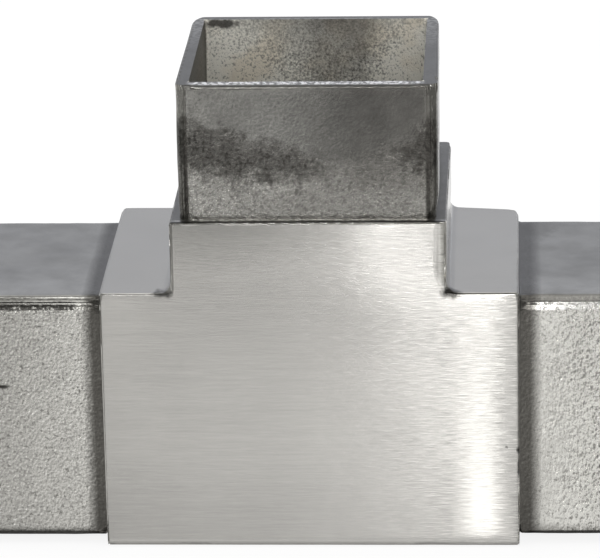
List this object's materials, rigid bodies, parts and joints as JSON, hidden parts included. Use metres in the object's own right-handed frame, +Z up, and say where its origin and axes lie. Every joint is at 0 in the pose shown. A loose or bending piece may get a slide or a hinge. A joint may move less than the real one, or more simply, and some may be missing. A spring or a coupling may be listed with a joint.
{
  "type": "square tube connector",
  "caption": "T-shaped connector that joins square steel tubes flush: a satin-ground body with hollow as-cast spigots that plug into the tube ends.",
  "frame": {"origin": "centre of the flat base under the body, where the branch's centre line meets it", "axes": "+X along the run, +Y from the front face to the back, +Z up along the branch"},
  "size_m": [0.1016, 0.04, 0.0708],
  "materials": {
    "cast_stainless": "body ground to a satin finish with lines along the run; spigots left as cast, with ground ends"
  },
  "bodies": {
    "root": {"tee_connector": "cast_stainless"}
  },
  "joints": []
}
